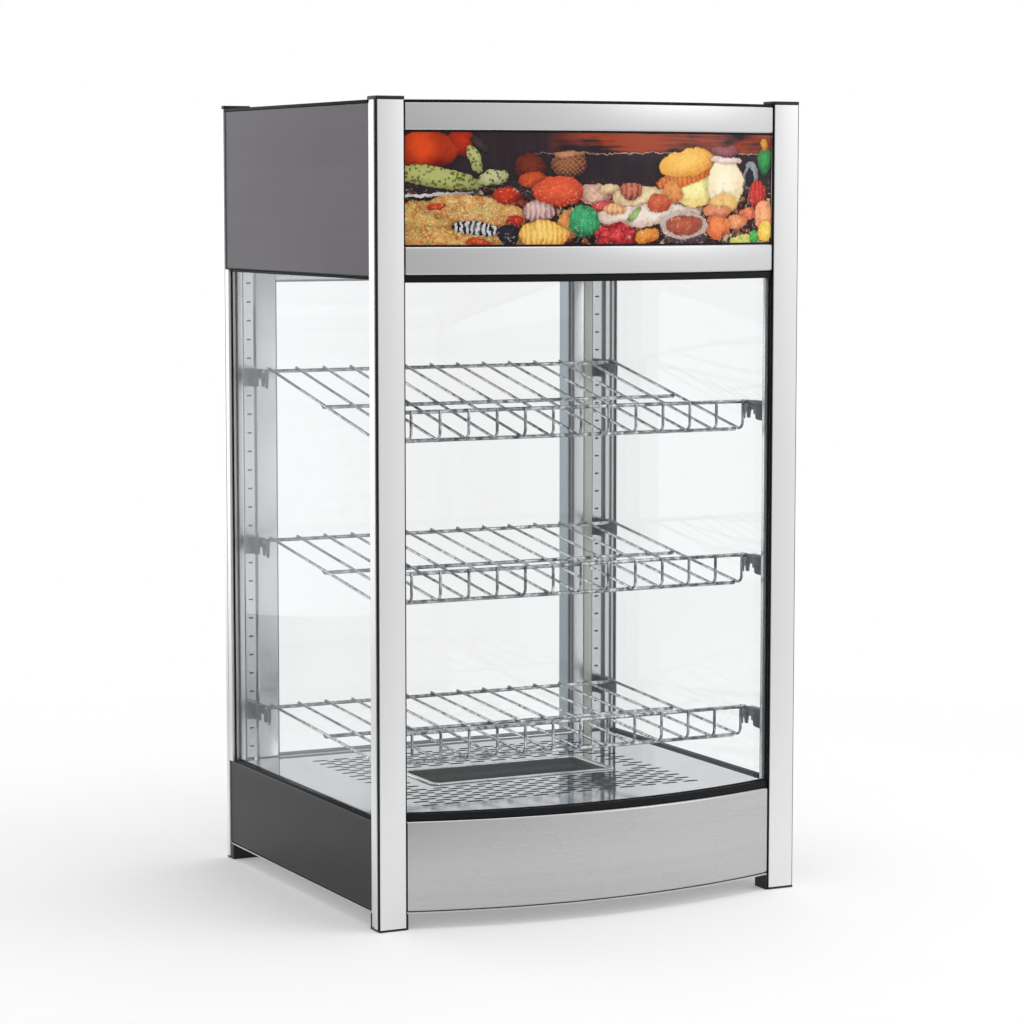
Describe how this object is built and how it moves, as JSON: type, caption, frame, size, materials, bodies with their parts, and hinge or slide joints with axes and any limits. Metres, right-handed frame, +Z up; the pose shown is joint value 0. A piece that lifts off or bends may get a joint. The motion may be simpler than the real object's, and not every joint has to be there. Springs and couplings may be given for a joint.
{
  "type": "hot food display case",
  "caption": "Countertop heated display case with a bowed glass front, wire shelves, a lit picture header, a water tray and a rear glass door.",
  "frame": {"origin": "on the counter, under the middle of the case's outline", "axes": "+Z up, -Y towards the customers' side with the bowed glass, +Y towards the door at the rear, +X to the right seen from the front"},
  "size_m": [0.47, 0.464, 0.81],
  "materials": {
    "post_aluminium": "satin anodised",
    "black_plastic": "matt moulded",
    "dark_steel": "brushed, dark",
    "brushed_steel": "brushed",
    "header_steel": "brushed",
    "rear_steel": "brushed",
    "pan_steel": "mill finish",
    "mirror_steel": "polished",
    "tray_steel": "bright",
    "element_steel": "heat tinted",
    "control_plastic": "matt moulded",
    "red_plastic": "gloss, translucent",
    "gland_plastic": "matt moulded",
    "picture_plastic": "printed translucent sheet",
    "diffuser_plastic": "opal",
    "lamp_plastic": "opal tube",
    "white_plastic": "matt moulded",
    "glass": "clear toughened",
    "seal_rubber": "matt extruded",
    "strip_steel": "satin",
    "clip_zinc": "bright zinc plated",
    "shelf_chrome": "chrome plated wire",
    "door_aluminium": "satin anodised",
    "handle_aluminium": "satin anodised",
    "hinge_steel": "satin"
  },
  "bodies": {
    "case": {"front_left_post": "post_aluminium", "front_right_post": "post_aluminium", "rear_left_post": "post_aluminium", "rear_right_post": "post_aluminium", "post_caps": "black_plastic", "post_feet": "black_plastic", "base_left_panel": "dark_steel", "base_right_panel": "dark_steel", "base_front_panel": "brushed_steel", "base_rear_panel": "rear_steel", "base_bottom_pan": "pan_steel", "floor_plate": "mirror_steel", "heating_element": "element_steel", "element_brackets": "pan_steel", "thermostat_body": "control_plastic", "switch_housings": "control_plastic", "cable_gland": "gland_plastic", "header_left_panel": "header_steel", "header_right_panel": "header_steel", "header_top_cover": "header_steel", "header_top_rail": "brushed_steel", "header_bottom_rail": "brushed_steel", "header_picture": "picture_plastic", "header_rear_panel": "rear_steel", "ceiling_panel": "pan_steel", "light_diffuser": "diffuser_plastic", "lamp_tube": "lamp_plastic", "lamp_holders": "white_plastic", "lamp_driver": "white_plastic", "front_glass": "glass", "left_glass": "glass", "right_glass": "glass", "front_top_seal": "seal_rubber", "front_bottom_seal": "seal_rubber", "front_side_seals": "seal_rubber", "side_glass_seals": "seal_rubber", "front_slotted_strips": "strip_steel", "rear_slotted_strips": "strip_steel", "shelf_clips": "clip_zinc", "post_hinge_leaves": "hinge_steel", "hinge_pins": "hinge_steel", "magnet_catch": "white_plastic", "panel_screws": "hinge_steel"},
    "door": {"door_hinge_stile": "door_aluminium", "door_latch_stile": "door_aluminium", "door_top_rail": "door_aluminium", "door_bottom_rail": "door_aluminium", "door_glass": "glass", "door_handle": "handle_aluminium", "door_hinge_leaves": "hinge_steel"},
    "bottom_shelf": {"bottom_shelf_deck": "shelf_chrome", "bottom_shelf_lip": "shelf_chrome"},
    "middle_shelf": {"middle_shelf_deck": "shelf_chrome", "middle_shelf_lip": "shelf_chrome"},
    "top_shelf": {"top_shelf_deck": "shelf_chrome", "top_shelf_lip": "shelf_chrome"},
    "tray": {"water_tray": "tray_steel"},
    "knob": {"thermostat_knob": "control_plastic"},
    "power_switch": {"power_rocker": "red_plastic"},
    "light_switch": {"light_rocker": "control_plastic"}
  },
  "joints": [
    {"name": "door_hinge", "type": "hinge", "parent": "case", "child": "door", "pos_m": [-0.2042, 0.2078, 0], "axis": [0, 0, 1], "range_deg": [0, 110]},
    {"name": "bottom_shelf_lift", "type": "slide", "parent": "case", "child": "bottom_shelf", "axis": [0, 0, 1], "range_m": [0, 0.03]},
    {"name": "middle_shelf_lift", "type": "slide", "parent": "case", "child": "middle_shelf", "axis": [0, 0, 1], "range_m": [0, 0.03]},
    {"name": "top_shelf_lift", "type": "slide", "parent": "case", "child": "top_shelf", "axis": [0, 0, 1], "range_m": [0, 0.03]},
    {"name": "tray_lift", "type": "slide", "parent": "case", "child": "tray", "axis": [0, 0, 1], "range_m": [0, 0.035]},
    {"name": "knob_turn", "type": "hinge", "parent": "case", "child": "knob", "pos_m": [0.11, 0.202, 0.05], "axis": [0, 1, 0], "range_deg": [0, 270]},
    {"name": "power_rocker_tilt", "type": "hinge", "parent": "case", "child": "power_switch", "pos_m": [0.045, 0.198, 0.05], "axis": [1, 0, 0], "range_deg": [-14, 0]},
    {"name": "light_rocker_tilt", "type": "hinge", "parent": "case", "child": "light_switch", "pos_m": [0.01, 0.198, 0.05], "axis": [1, 0, 0], "range_deg": [-14, 0]}
  ]
}
